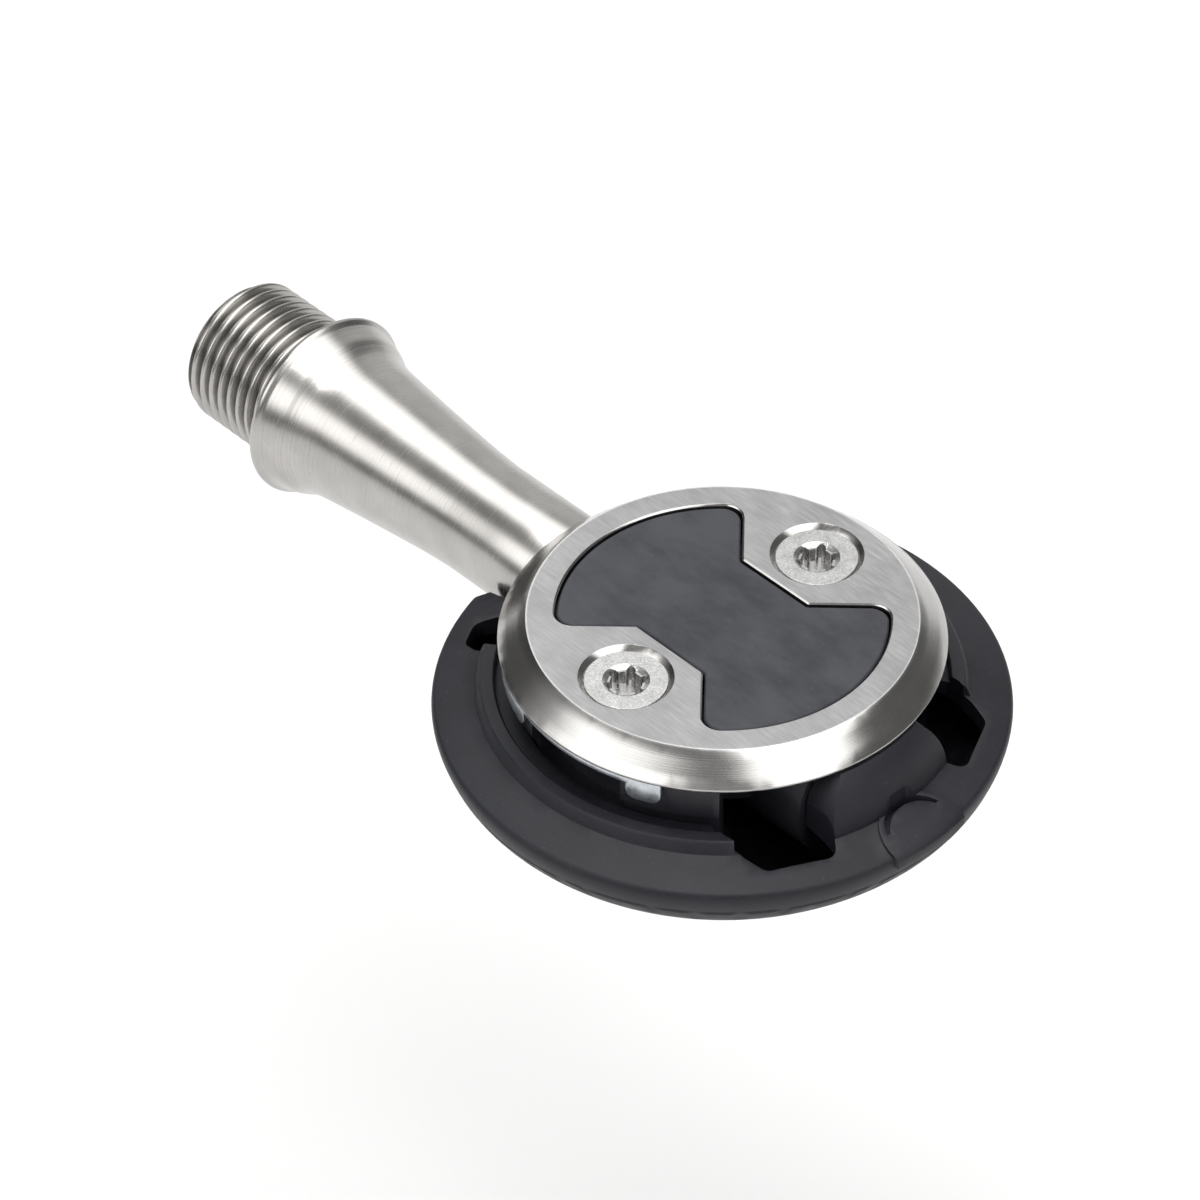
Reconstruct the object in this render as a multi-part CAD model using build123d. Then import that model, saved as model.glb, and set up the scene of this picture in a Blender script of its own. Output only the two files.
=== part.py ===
from build123d import *
import math
import os

os.makedirs("parts", exist_ok=True)

# Millimetres. X runs along the spindle, away from the crank. Z is up, square to the steel plate.
# The origin is where the spindle's flange seats on the crank arm.

# Places along the spindle. Places inside the pedal are counted from its middle.
centre_x = 53.5
tube_start = -17.4
tube_end = 17.0
seal_start = -16.9
seal_end = -14.4
needle_start = -14.0
needle_end = -4.0
ball_start = 1.0

# Crank thread: 9/16 inch by 20 to the inch, as closed rings at the real pitch
thread_radius = 7.1
thread_length = 12.0
thread_pitch = 1.27
thread_depth = 0.78
thread_flat = 0.2
thread_turns = 8
thread_land = 0.95
thread_chamfer = 0.9
hex_across_flats = 8.0
hex_depth = 8.0

# Spindle
flange_radius = 9.1
flange_edge = 0.25
flange_thickness = 0.6
flange_step_radius = 8.62
collar_length = 3.0
collar_radius = 8.15
flare_end = 22.5
shank_radius = 5.55
shank_end = -18.4
neck_down_radius = 4.9
neck_down_length = 0.65
neck_down_end = -17.3
seal_land_radius = 4.5
needle_journal = 4.0
ball_journal = 3.0
spindle_end = 8.8
spindle_chamfer = 0.5

# Bearing tube in the body
tube_radius = 7.4
bearing_bore = 6.0
shoulder_bore = 5.0
step_x = 14.2

# Steel plate
plate_top = 8.12
plate_bottom = 5.2
plate_flat_radius = 17.2
plate_radius = 19.7
plate_edge_top = 5.7
plate_edge_bottom = 5.45
plate_undercut = 0.25
opening_arc = 14.7
waist_half_width = 6.4
waist_half_length = 4.1
lobe_fillet = 1.7
waist_fillet = 0.4
opening_bevel = 0.15
channel_half_width = tube_radius - 1.3
channel_half_length = 17.7
spindle_relief = 0.3

# Insert in the plate's opening
insert_gap = 0.2
insert_drop = 0.2
insert_thickness = 1.02
insert_edge = 0.15
peg_x = 10.0
peg_y = 8.0
peg_radius = 1.1
peg_length = 2.4
peg_clearance = 0.03
pad_top = plate_top - insert_drop - insert_thickness
channel_top = pad_top - 0.4
tube_top_under_plate = channel_top - 0.1

# Plate screws and their threaded bushes
plate_screw_y = 11.6
sink_radius = 4.2
head_radius = 3.65
head_band = 0.18
plate_screw_radius = 2.0
plate_screw_hole = 2.2
plate_screw_tip = -2.6
plate_bush_radius = 2.9
plate_bush_top = 4.4
plate_bush_bottom = -1.6
plate_boss_radius = 4.2
plate_boss_bottom = -3.6

# Core body under the plate
neck_radius = 18.7
neck_base = -1.2
neck_foot_radius = 18.0
neck_foot_top = 1.4
neck_foot_edge = 0.15
hub_radius = 13.5
pad_inset = 0.3
pad_arc = 13.2
outboard_cut_angle = 45.0
crank_cut_angle = 143.0
notch_start = 72.0
notch_end = 106.0
notch_radius = 16.4
notch_bottom = -0.5
notch_top = 4.6
core_radius = 15.2
core_half_length = 8.0
core_side = 9.2
core_ceiling = 3.2

# Wear clips, bent down at both ends beside the notch
clip_start = 60.0
clip_end = 128.0
clip_tab_short = 69.5
clip_tab_long = 106.5
clip_inner = 17.3
clip_outer = 19.4
clip_thickness = 0.6
clip_tab_inner = 18.75
clip_tab_bottom = 3.0
clip_tab_fillet = 0.9
clip_clearance = 0.05

# Aero fairing round the body
fairing_inner = 18.3
trough_floor = 0.35
ledge_inner = 20.0
ledge_outer = 21.5
ledge_foot = 21.85
ledge_top = 1.3
ledge_edge = 0.22
ledge_start = 41.5
ledge_end = 144.0
flange_root_z = 0.1
rim_radius = 25.25
rim_top = -0.95
rim_side_radius = 25.65
rim_side_z = -2.0
dome_bottom = -tube_radius - 3.5
dome_flat = 1.0
# Radius, share of the dome's depth, and how far a wall moves in and up for each millimetre of thickness
dome_profile = [
    (24.6, 0.4312, 1.0, 0.2),
    (23.5, 0.5505, 0.9, 0.45),
    (21.5, 0.6972, 0.7, 0.7),
    (18.0, 0.8257, 0.45, 0.9),
    (12.0, 0.9404, 0.25, 1.0),
]
dome_wall = 1.2
flange_wall = 1.25
channel_radius = 6.1
channel_inner_x = -17.2
mouth_x = -23.7
mouth_rim_x = -24.6
mouth_half_width = 7.7
pocket_outer = 23.55
pocket_fillet = 1.1
tongue_radius = 6.9
tongue_side = 6.65
tongue_start = 17.2
tongue_foot_radius = 21.95
tongue_top = 5.1
tongue_wall = 1.5
pad_x = 25.1
pad_radius = 4.1
pad_lift = 0.3
pad_reach = 26.1
crescent_radius = 3.4
crescent_width = 0.7
crescent_depth = 0.5

# Fairing screws and their bushes
fairing_screw_x = 8.0
fairing_screw_y = 12.2
fairing_screw_radius = 1.5
fairing_screw_hole = 1.7
fairing_screw_tip = -1.0
fairing_seat = -7.2
fairing_counterbore = 3.0
fairing_head_radius = 2.7
fairing_head_height = 1.7
fairing_boss_radius = 4.0
fairing_joint_z = -5.4
core_boss_radius = 3.3
fairing_bush_radius = 2.1
fairing_bush_top = -0.6
bush_recess = 0.2

# Needle bearing 8 x 12 x 10
needle_cup_wall = 0.5
needle_cup_lip = 4.3
needle_radius = 0.71
needle_pitch = 4.75
needle_count = 12
needle_length = 7.6
needle_cage_inner = 4.35
needle_cage_outer = 5.15
needle_cage_length = 8.6
needle_play = 0.04

# Ball bearings 6 x 12 x 4, two side by side
ball_bearing_width = 4.0
ball_bearing_count = 2
ball_radius = 0.98
ball_pitch = 4.5
ball_count = 8
ball_play = 0.05
inner_ring_radius = 3.85
outer_ring_bore = 5.15
ring_edge = 0.2
ball_cage_inner = 4.2
ball_cage_outer = 4.8
ball_cage_width = 2.2
shield_inner = 4.05
shield_thickness = 0.25
shield_inset = 0.1

# Retaining parts at the spindle's end
snap_thickness = 0.8
snap_depth = 0.45
snap_inner = 5.1
snap_gap_angle = 40.0
snap_lug_radius = 0.8
snap_lug_pitch = 5.2
snap_hole = 0.4
washer_radius = 3.9
washer_hole = 2.15
washer_thickness = 0.8
end_screw_radius = 2.0
end_screw_head = 3.4
end_screw_head_height = 2.2
end_screw_length = 10.0
end_screw_clearance = 0.02
plug_start = 13.2
plug_end = 16.6
plug_hex = 5.0
plug_hex_depth = 1.6
ring_section = 0.65
ring_groove_width = 1.4

# Six-lobe recesses
lobe_drive = {
    "large": (1.93, 0.42, 1.7),
    "small": (1.38, 0.3, 1.1),
}
lead_in = 0.3

overlap = 1.0
seal_play = 0.05
down_align = (Align.CENTER, Align.CENTER, Align.MIN)


def along_x(radius, start, end):
    """A round bar on the spindle's axis, between two places counted from the pedal's middle."""
    bar = Cylinder(radius, end - start, align=down_align)
    return Pos(centre_x + start, 0, 0) * Rot(0, 90, 0) * bar


def ring_x(outer, inner, start, end):
    return along_x(outer, start, end) - along_x(inner, start - overlap, end + overlap)


def along_z(radius, x, y, bottom, top):
    bar = Cylinder(radius, top - bottom, align=down_align)
    return Pos(centre_x + x, y, bottom) * bar


def block(x_from, x_to, y_from, y_to, z_from, z_to):
    size = Box(x_to - x_from, y_to - y_from, z_to - z_from)
    middle = Pos((x_from + x_to) / 2, (y_from + y_to) / 2, (z_from + z_to) / 2)
    return Pos(centre_x, 0, 0) * middle * size


def polar(radius, angle):
    return (radius * math.cos(math.radians(angle)), radius * math.sin(math.radians(angle)))


def turned_z(edges):
    """A solid turned about the upright axis through the pedal's middle from edges in radius and height."""
    return Pos(centre_x, 0, 0) * revolve(Plane.XZ * make_face(edges), Axis.Z)


def turned_x(edges, shift=0.0):
    """A solid turned about the spindle's axis from edges in place and radius."""
    return Pos(shift, 0, 0) * revolve(make_face(edges), Axis.X)


def closed(points):
    return Polyline(*points, close=True)


def upright(sketch, bottom, top):
    """A prism over a flat outline drawn round the pedal's middle."""
    return Pos(centre_x, 0, bottom) * extrude(sketch, top - bottom)


def wedge(angle_from, angle_to, reach=60.0):
    """A flat sector, used to pick out part of a ring."""
    steps = 6
    points = [(0.0, 0.0)]
    for step in range(steps + 1):
        points.append(polar(reach, angle_from + (angle_to - angle_from) * step / steps))
    return make_face(closed(points))


def ring_sector(inner, outer, angle_from, angle_to):
    ring = Circle(outer) - Circle(inner)
    return ring & wedge(angle_from, angle_to)


def both_sides(solid):
    """The solid and its mirror image across the plane through the spindle's axis."""
    return solid, mirror(solid, Plane.XZ)


def hourglass(shrink, arc):
    """Outline of the plate's opening, drawn in by a set distance."""
    slant = waist_half_width - waist_half_length
    waist = waist_half_width - shrink
    corner = waist - slant + shrink * math.sqrt(2)
    far = 2 * opening_arc
    tip = far + waist - corner
    upper = [(-far, tip), (-corner, waist), (corner, waist), (far, tip)]
    lower = [(x, -y) for x, y in reversed(upper)]
    shape = make_face(closed(upper + lower)) & Circle(arc - shrink)
    outside = [v for v in shape.vertices() if abs(v.X) > 2 * waist_half_length]
    shape = fillet(outside, lobe_fillet)
    inside = [v for v in shape.vertices() if abs(v.X) < 1.3 * waist_half_length]
    return fillet(inside, waist_fillet)


def six_lobe(size):
    """Six-lobe driver recess, pointing down from the origin."""
    outer, lobe, depth = lobe_drive[size]
    shape = Circle(outer - 1.2 * lobe)
    for turn in range(6):
        x, y = polar(outer - lobe, turn * 60.0)
        shape += Pos(x, y) * Circle(lobe)
    recess = extrude(shape, -depth)
    mouth = Pos(0, 0, -lead_in) * Cone(outer - lead_in, outer + lead_in / 2, lead_in, align=down_align)
    return recess + mouth


def make_spindle():
    flank = (thread_pitch - 2 * thread_flat) / 2
    root = thread_radius - thread_depth
    outline = [(0.0, thread_radius)]
    place = -thread_land
    for turn in range(thread_turns):
        outline.append((place, thread_radius))
        outline.append((place - flank, root))
        outline.append((place - flank - thread_flat, root))
        outline.append((place - 2 * flank - thread_flat, thread_radius))
        place -= thread_pitch
    outline.append((-thread_length, thread_radius))
    outline.append((-thread_length, 0.0))
    seat = [
        (0.0, thread_radius),
        (0.0, flange_radius - flange_edge),
        (flange_edge, flange_radius),
        (flange_thickness, flange_radius),
        (flange_thickness + flange_edge, flange_step_radius),
        (collar_length, collar_radius),
    ]
    flare = [
        (collar_length, collar_radius),
        (collar_length + 0.6, collar_radius - 0.5),
        (collar_length + 1.8, collar_radius - 0.93),
        (7.4, 6.95),
        (11.5, 6.48),
        (18.5, 5.8),
        (flare_end, shank_radius),
    ]
    ball_end = centre_x + spindle_end
    inner = [
        (flare_end, shank_radius),
        (centre_x + shank_end, shank_radius),
        (centre_x + shank_end + neck_down_length, neck_down_radius),
        (centre_x + neck_down_end, neck_down_radius),
        (centre_x + neck_down_end + 0.2, seal_land_radius),
        (centre_x + seal_end, seal_land_radius),
        (centre_x + seal_end + 0.3, needle_journal),
        (centre_x + ball_start, needle_journal),
        (centre_x + ball_start, ball_journal),
        (ball_end - spindle_chamfer, ball_journal),
        (ball_end, ball_journal - spindle_chamfer),
        (ball_end, 0.0),
        (-thread_length, 0.0),
    ]
    spindle = turned_x([Polyline(*outline), Polyline(*seat), Spline(*flare), Polyline(*inner)])
    start = thread_radius - thread_chamfer
    envelope = [
        (-thread_length, 0.0),
        (-thread_length, start),
        (-thread_length + thread_chamfer, thread_radius),
        (-thread_length + thread_chamfer, 2 * thread_radius),
        (ball_end + overlap, 2 * thread_radius),
        (ball_end + overlap, 0.0),
    ]
    spindle = spindle & turned_x([closed(envelope)])
    hexagon = RegularPolygon(hex_across_flats / 2, 6, major_radius=False)
    socket = extrude(Plane.YZ * hexagon, hex_depth + overlap)
    spindle -= Pos(-thread_length - overlap, 0, 0) * socket
    countersink = Cone(hex_across_flats * 0.6, hex_across_flats / 2, 0.8, align=down_align)
    spindle -= Pos(-thread_length, 0, 0) * Rot(0, 90, 0) * countersink
    hole_depth = end_screw_length + overlap
    hole = along_x(end_screw_radius + end_screw_clearance, spindle_end - hole_depth, spindle_end + overlap)
    return spindle - hole


def make_end_screw():
    head_start = ball_start + ball_bearing_count * ball_bearing_width + washer_thickness
    head_end = head_start + end_screw_head_height
    head = along_x(end_screw_head, head_start, head_end)
    rim = head.edges().filter_by(GeomType.CIRCLE).sort_by(Axis.X)[-1]
    head = chamfer(rim, 0.35)
    shank = along_x(end_screw_radius, head_start - end_screw_length, head_start)
    recess = Pos(centre_x + head_end, 0, 0) * Rot(0, 90, 0) * six_lobe("large")
    return head + shank - recess


def make_washer():
    start = ball_start + ball_bearing_count * ball_bearing_width
    return ring_x(washer_radius, washer_hole, start, start + washer_thickness)


def bearing_places():
    return [ball_start + index * ball_bearing_width for index in range(ball_bearing_count)]


def raceway(middle):
    track = Torus(ball_pitch, ball_radius + ball_play)
    return Pos(centre_x + middle, 0, 0) * Rot(0, 90, 0) * track


def bearing_ring(outer, inner, start):
    ring = ring_x(outer, inner, start, start + ball_bearing_width)
    return ring - raceway(start + ball_bearing_width / 2)


def inner_ring(start):
    ring = bearing_ring(inner_ring_radius, ball_journal, start)
    edges = [e for e in ring.edges().filter_by(GeomType.CIRCLE) if abs(e.radius - inner_ring_radius) < 0.01]
    half = ball_bearing_width / 2
    ends = [e for e in edges if abs(abs(e.center().X - centre_x - start - half) - half) < 0.01]
    return chamfer(ends, ring_edge / 2)


def outer_ring(start):
    ring = bearing_ring(bearing_bore, outer_ring_bore, start)
    edges = [e for e in ring.edges().filter_by(GeomType.CIRCLE) if abs(e.radius - bearing_bore) < 0.01]
    return chamfer(edges, ring_edge)


def shield(start):
    return ring_x(outer_ring_bore, shield_inner, start, start + shield_thickness)


def place_ball(middle, turn):
    y, z = polar(ball_pitch, turn * 360.0 / ball_count)
    return Pos(centre_x + middle, y, z)


def ball_cage(middle):
    half = ball_cage_width / 2
    cage = ring_x(ball_cage_outer, ball_cage_inner, middle - half, middle + half)
    for turn in range(ball_count):
        cage -= place_ball(middle, turn) * Sphere(ball_radius + ball_play)
    return cage


def balls(middle):
    return [place_ball(middle, turn) * Sphere(ball_radius) for turn in range(ball_count)]


def needle_middle():
    return (needle_start + needle_end) / 2


def needle_bars(radius, length):
    bars = []
    for turn in range(needle_count):
        y, z = polar(needle_pitch, turn * 360.0 / needle_count)
        half = length / 2
        bar = along_x(radius, needle_middle() - half, needle_middle() + half)
        bars.append(Pos(0, y, z) * bar)
    return bars


def make_needle_cup():
    inside = bearing_bore - needle_cup_wall
    cup = ring_x(bearing_bore, needle_cup_lip, needle_start, needle_end)
    cup -= along_x(inside, needle_start + needle_cup_wall, needle_end - needle_cup_wall)
    rims = [e for e in cup.edges().filter_by(GeomType.CIRCLE) if abs(e.radius - bearing_bore) < 0.01]
    return fillet(rims, needle_cup_wall / 2)


def make_needle_cage():
    half = needle_cage_length / 2
    cage = ring_x(needle_cage_outer, needle_cage_inner, needle_middle() - half, needle_middle() + half)
    for bar in needle_bars(needle_radius + needle_play, needle_length + 2 * needle_play):
        cage -= bar
    return cage


def make_lip_seal():
    lip = seal_land_radius + seal_play
    middle = (seal_start + seal_end) / 2
    outline = [
        (seal_start, bearing_bore),
        (seal_end, bearing_bore),
        (seal_end, bearing_bore - 0.5),
        (middle + 0.1, bearing_bore - 0.5),
        (middle + 0.1, lip + 0.45),
        (seal_end - 0.3, lip + 0.25),
        (seal_end - 0.4, lip),
        (middle - 0.1, lip + 0.2),
        (seal_start + 0.3, lip + 0.1),
        (seal_start, lip + 0.3),
    ]
    return turned_x([closed(outline)], centre_x)


def make_snap_ring():
    start = ball_start + ball_bearing_count * ball_bearing_width
    end = start + snap_thickness
    ring = ring_x(bearing_bore + snap_depth, snap_inner, start, end)
    half_angle = snap_gap_angle / 2
    gap = extrude(Plane.YZ * wedge(-90 - half_angle, -90 + half_angle), snap_thickness + 2 * overlap)
    ring -= Pos(centre_x + start - overlap, 0, 0) * gap
    for side in (-1, 1):
        y, z = polar(snap_lug_pitch, -90 + side * (half_angle + 5))
        ring += Pos(0, y, z) * along_x(snap_lug_radius, start, end)
        ring -= Pos(0, y, z) * along_x(snap_hole, start - overlap, end + overlap)
    return ring


def plug_groove_start():
    return (plug_start + plug_end - ring_groove_width) / 2


def make_end_plug():
    plug = along_x(bearing_bore, plug_start, plug_end)
    floor = bearing_bore - 2 * ring_section
    groove_start = plug_groove_start()
    plug -= ring_x(bearing_bore + overlap, floor, groove_start, groove_start + ring_groove_width)
    hexagon = RegularPolygon(plug_hex / 2, 6, major_radius=False)
    recess = extrude(Plane.YZ * hexagon, plug_hex_depth + overlap)
    return plug - Pos(centre_x + plug_end - plug_hex_depth, 0, 0) * recess


def make_plug_ring():
    middle = plug_groove_start() + ring_groove_width / 2
    ring = Torus(bearing_bore - ring_section, ring_section)
    return Pos(centre_x + middle, 0, 0) * Rot(0, 90, 0) * ring


def plate_screw_spots():
    return [(0.0, plate_screw_y), (0.0, -plate_screw_y)]


def fairing_screw_spots():
    return [(x, y) for x in (-fairing_screw_x, fairing_screw_x) for y in (-fairing_screw_y, fairing_screw_y)]


def sink_cone(x, y):
    """The countersink's cone, from the plate's top down to the screw's clearance hole."""
    depth = sink_radius - plate_screw_hole
    cone = Cone(plate_screw_hole, sink_radius, depth, align=down_align)
    return Pos(centre_x + x, y, plate_top - depth) * cone


def make_plate():
    outline = [
        (0.0, plate_bottom),
        (plate_radius - plate_undercut, plate_bottom),
        (plate_radius, plate_edge_bottom),
        (plate_radius, plate_edge_top),
        (plate_flat_radius, plate_top),
        (0.0, plate_top),
    ]
    plate = turned_z([closed(outline)])
    opening = upright(hourglass(0.0, opening_arc), plate_bottom - overlap, plate_top + overlap)
    plate -= opening
    rim = plate.faces().sort_by(Axis.Z)[-1].inner_wires()[0]
    plate = chamfer(rim.edges(), opening_bevel)
    reach = channel_half_length
    side = channel_half_width
    plate -= block(-reach, reach, -side, side, plate_bottom - overlap, channel_top)
    plate -= along_x(shank_radius + spindle_relief, -plate_radius - overlap, -channel_half_length + overlap)
    for x, y in plate_screw_spots():
        plate -= sink_cone(x, y)
        plate -= along_z(plate_screw_hole, x, y, plate_bottom - overlap, plate_top)
    return plate


def make_insert():
    top = plate_top - insert_drop
    insert = upright(hourglass(insert_gap, opening_arc), pad_top, top)
    insert = chamfer(insert.faces().sort_by(Axis.Z)[-1].edges(), insert_edge)
    for x in (-peg_x, peg_x):
        for y in (-peg_y, peg_y):
            insert += along_z(peg_radius, x, y, pad_top - peg_length, pad_top)
    return insert


def plate_screw(x, y):
    cone_start = plate_top - (sink_radius - head_radius)
    head_depth = head_radius - plate_screw_radius
    head = Pos(centre_x + x, y, cone_start - head_depth) * Cone(
        plate_screw_radius, head_radius, head_depth, align=down_align
    )
    head += along_z(head_radius, x, y, cone_start, cone_start + head_band)
    shank = along_z(plate_screw_radius, x, y, plate_screw_tip, cone_start - head_depth)
    recess = Pos(centre_x + x, y, cone_start + head_band) * six_lobe("large")
    return head + shank - recess


def bush(outer, inner, x, y, bottom, top):
    """A threaded brass bush with a groove round its middle to hold it in the moulding."""
    middle = (bottom + top) / 2
    body = along_z(outer, x, y, bottom, top)
    groove = along_z(outer, x, y, middle - 0.4, middle + 0.4)
    groove -= along_z(outer - 0.35, x, y, middle - 0.4, middle + 0.4)
    return body - groove - along_z(inner, x, y, bottom - overlap, top + overlap)


def make_core_body():
    lobes = Circle(neck_radius)
    outboard = wedge(-outboard_cut_angle, outboard_cut_angle) - Circle(hub_radius)
    crank_side = wedge(crank_cut_angle, 360 - crank_cut_angle) - Circle(hub_radius)
    lobes -= outboard
    lobes -= crank_side
    body = upright(lobes, neck_base, plate_bottom)
    foot = upright(Circle(2 * neck_radius) - Circle(neck_foot_radius), neck_base - overlap, neck_foot_top)
    bevel = [
        (neck_radius - neck_foot_edge, neck_foot_top),
        (neck_radius, neck_foot_top + neck_foot_edge),
        (2 * neck_radius, neck_foot_top + neck_foot_edge),
        (2 * neck_radius, neck_foot_top),
    ]
    body = body - foot - turned_z([closed(bevel)])
    cores = upright(Circle(core_radius), neck_base - overlap, core_ceiling)
    reach = core_half_length
    for side in (-1, 1):
        low, high = sorted((side * core_side, side * core_radius))
        body -= cores & block(-reach, reach, low, high, neck_base - overlap, core_ceiling)
    for x, y in plate_screw_spots():
        body += along_z(plate_boss_radius, x, y, plate_boss_bottom, plate_bottom)
    for x, y in fairing_screw_spots():
        body += along_z(core_boss_radius, x, y, fairing_joint_z, core_ceiling)
    body += upright(hourglass(pad_inset, pad_arc + pad_inset), plate_bottom - overlap, pad_top)
    tube = along_x(tube_radius, tube_start, tube_end)
    reach = step_x
    far = 2 * tube_end
    tube -= block(-far, far, -tube_radius, tube_radius, pad_top, 2 * pad_top)
    tube -= block(-far, -reach, -tube_radius, tube_radius, tube_top_under_plate, 2 * pad_top)
    tube -= block(reach, far, -tube_radius, tube_radius, tube_top_under_plate, 2 * pad_top)
    body += tube
    notch = ring_sector(notch_radius, 2 * neck_radius, notch_start, notch_end)
    seat = ring_sector(
        clip_inner - clip_clearance,
        2 * neck_radius,
        clip_start - 0.3,
        clip_end + 0.3,
    )
    for cut in both_sides(upright(notch, notch_bottom, notch_top)):
        body -= cut
    for cut in both_sides(upright(seat, plate_bottom - clip_thickness, plate_bottom + overlap)):
        body -= cut
    body -= along_x(bearing_bore, tube_start - overlap, needle_end)
    body -= along_x(shoulder_bore, needle_end - overlap, ball_start + overlap)
    body -= along_x(bearing_bore, ball_start, tube_end + overlap)
    snap_start = ball_start + ball_bearing_count * ball_bearing_width
    body -= along_x(bearing_bore + snap_depth, snap_start, snap_start + snap_thickness)
    for x, y in plate_screw_spots():
        body -= along_z(plate_bush_radius, x, y, plate_bush_bottom, plate_bottom + overlap)
        body -= along_z(plate_screw_hole, x, y, plate_screw_tip - 0.3, plate_bush_bottom + overlap)
    for x, y in fairing_screw_spots():
        body -= along_z(fairing_bush_radius, x, y, fairing_joint_z - overlap, fairing_bush_top)
        body -= along_z(fairing_screw_hole, x, y, fairing_bush_top - overlap, fairing_screw_tip + 0.9)
    for x in (-peg_x, peg_x):
        for y in (-peg_y, peg_y):
            body -= along_z(peg_radius + peg_clearance, x, y, pad_top - peg_length - 0.3, pad_top + overlap)
    return body


def wear_clip():
    flat = ring_sector(clip_inner, clip_outer, clip_start, clip_end)
    clip = upright(flat, plate_bottom - clip_thickness, plate_bottom)
    for angle_from, angle_to in ((clip_start, clip_tab_short), (clip_tab_long, clip_end)):
        tab = upright(
            ring_sector(clip_tab_inner, clip_outer, angle_from, angle_to),
            clip_tab_bottom,
            plate_bottom - clip_thickness,
        )
        low = tab.edges().filter_by(lambda edge: abs(edge.length - (clip_outer - clip_tab_inner)) < 0.02)
        low = [edge for edge in low if abs(edge.center().Z - clip_tab_bottom) < 0.01]
        clip += fillet(low, clip_tab_fillet)
    return clip


def dome_curve(inset):
    """Underside of the fairing from its side to its middle, drawn in by a wall thickness."""
    points = [(rim_side_radius - 0.35 - inset, rim_side_z - 1.3)]
    for radius, depth, inward, upward in dome_profile:
        points.append((radius - inset * inward, dome_bottom * depth + inset * upward))
    points.append((dome_flat, dome_bottom + inset))
    return Spline(*points)


def make_fairing():
    side = dome_curve(0.0)
    inside = dome_curve(dome_wall)
    inner_top = (rim_side_radius - dome_wall - 0.25, rim_side_z - 0.35)
    middle = Polyline(inside @ 1, (0.0, dome_bottom + dome_wall), (0.0, dome_bottom), side @ 1)
    flange = Polyline(
        (fairing_inner, trough_floor - flange_wall),
        (fairing_inner, trough_floor),
        (ledge_inner, trough_floor),
        (ledge_foot, flange_root_z),
        (rim_radius, rim_top),
    )
    rim = [(rim_radius, rim_top), (rim_side_radius, rim_side_z), side @ 0]
    rounded = Spline(*rim, tangents=[(1.0, -0.3), side % 0])
    under = Polyline(inside @ 0, inner_top, (fairing_inner, trough_floor - flange_wall))
    fairing = turned_z([flange, rounded, side, middle, inside, under])
    ledge_outline = [
        (ledge_inner, trough_floor - 0.2),
        (ledge_inner, ledge_top - ledge_edge),
        (ledge_inner + ledge_edge, ledge_top),
        (ledge_outer - ledge_edge, ledge_top),
        (ledge_outer, ledge_top - ledge_edge),
        (ledge_foot, flange_root_z),
        (ledge_foot, trough_floor - flange_wall / 2),
        (ledge_inner, trough_floor - flange_wall / 2),
    ]
    ledge = turned_z([closed(ledge_outline)])
    sector = upright(wedge(ledge_start, ledge_end), -overlap, 2 * ledge_top)
    arcs = [ledge & part for part in both_sides(sector)]
    filled = turned_z([side, Polyline(side @ 1, (0.0, dome_bottom), (0.0, rim_side_z), side @ 0)])
    bosses = [
        along_z(fairing_boss_radius, x, y, dome_bottom - overlap, fairing_joint_z) & filled
        for x, y in fairing_screw_spots()
    ]
    fairing = fairing + arcs + bosses + [make_tongue(), make_pad()]
    cuts = pocket_cuts() + [make_crescent()]
    for x, y in fairing_screw_spots():
        cuts.append(along_z(fairing_counterbore, x, y, dome_bottom - overlap, fairing_seat))
        cuts.append(along_z(fairing_screw_hole, x, y, dome_bottom, fairing_joint_z + overlap))
    far = far_reach()
    cuts.append(along_x(channel_radius, -far, channel_inner_x))
    cuts.append(block(-far, channel_inner_x, -channel_radius, channel_radius, 0.0, far))
    cuts.append(upright(make_face(closed(mouth_outline())), dome_bottom, -dome_bottom))
    return fairing - cuts


def make_tongue():
    """The cover over the bearing tube's end, falling steeply to the flange."""
    bar = along_x(tongue_radius, tongue_start, pad_x)
    end_curve = Spline(
        (tongue_foot_radius, trough_floor - 0.2),
        (tongue_foot_radius - 0.45, 2.0),
        (tongue_foot_radius - 1.2, 3.8),
        (tongue_foot_radius - 2.2, tongue_top),
    )
    low = -2.0
    rest = Polyline(end_curve @ 1, (0.0, tongue_top), (0.0, low), (tongue_foot_radius, low), end_curve @ 0)
    hollow = along_x(tongue_radius - tongue_wall, tongue_start - overlap, tongue_foot_radius - 2.4)
    roof = tongue_top - tongue_wall
    hollow -= block(0.0, far_reach(), -tongue_radius, tongue_radius, roof, 2 * tongue_top)
    side = tongue_radius
    under = block(0.0, far_reach(), -side, side, -2 * side, trough_floor - flange_wall)
    return (bar & turned_z([end_curve, rest])) - hollow - under


def make_pad():
    """The round pad on the rim, outboard of the tongue."""
    slope = (flange_root_z - rim_top) / (rim_radius - ledge_foot)
    outline = [
        (0.0, rim_top - 1.0),
        (pad_reach, rim_top - 1.0),
        (pad_reach, rim_top + pad_lift - 0.45),
        (pad_reach - 0.5, rim_top + pad_lift - 0.05),
        (ledge_foot, flange_root_z + pad_lift - 0.1 * slope),
        (0.0, flange_root_z + pad_lift),
    ]
    pad = along_z(pad_radius, pad_x, 0.0, -3.0, 3.0) & turned_z([closed(outline)])
    return pad & upright(Circle(far_reach()) - Circle(ledge_foot + 0.15), -3.0, 3.0)


def make_crescent():
    """The shallow crescent between the tongue and the pad."""
    middle = pad_x - 0.3
    floor = flange_root_z - crescent_depth - 0.15
    crescent = along_z(crescent_radius, middle, 0.0, floor, 3.0)
    crescent -= along_z(crescent_radius, middle + crescent_width, 0.0, -3.0, 4.0)
    return crescent & block(tongue_foot_radius - 0.4, pad_x - 1.6, -pad_radius, pad_radius, -3.0, 3.0)


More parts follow.
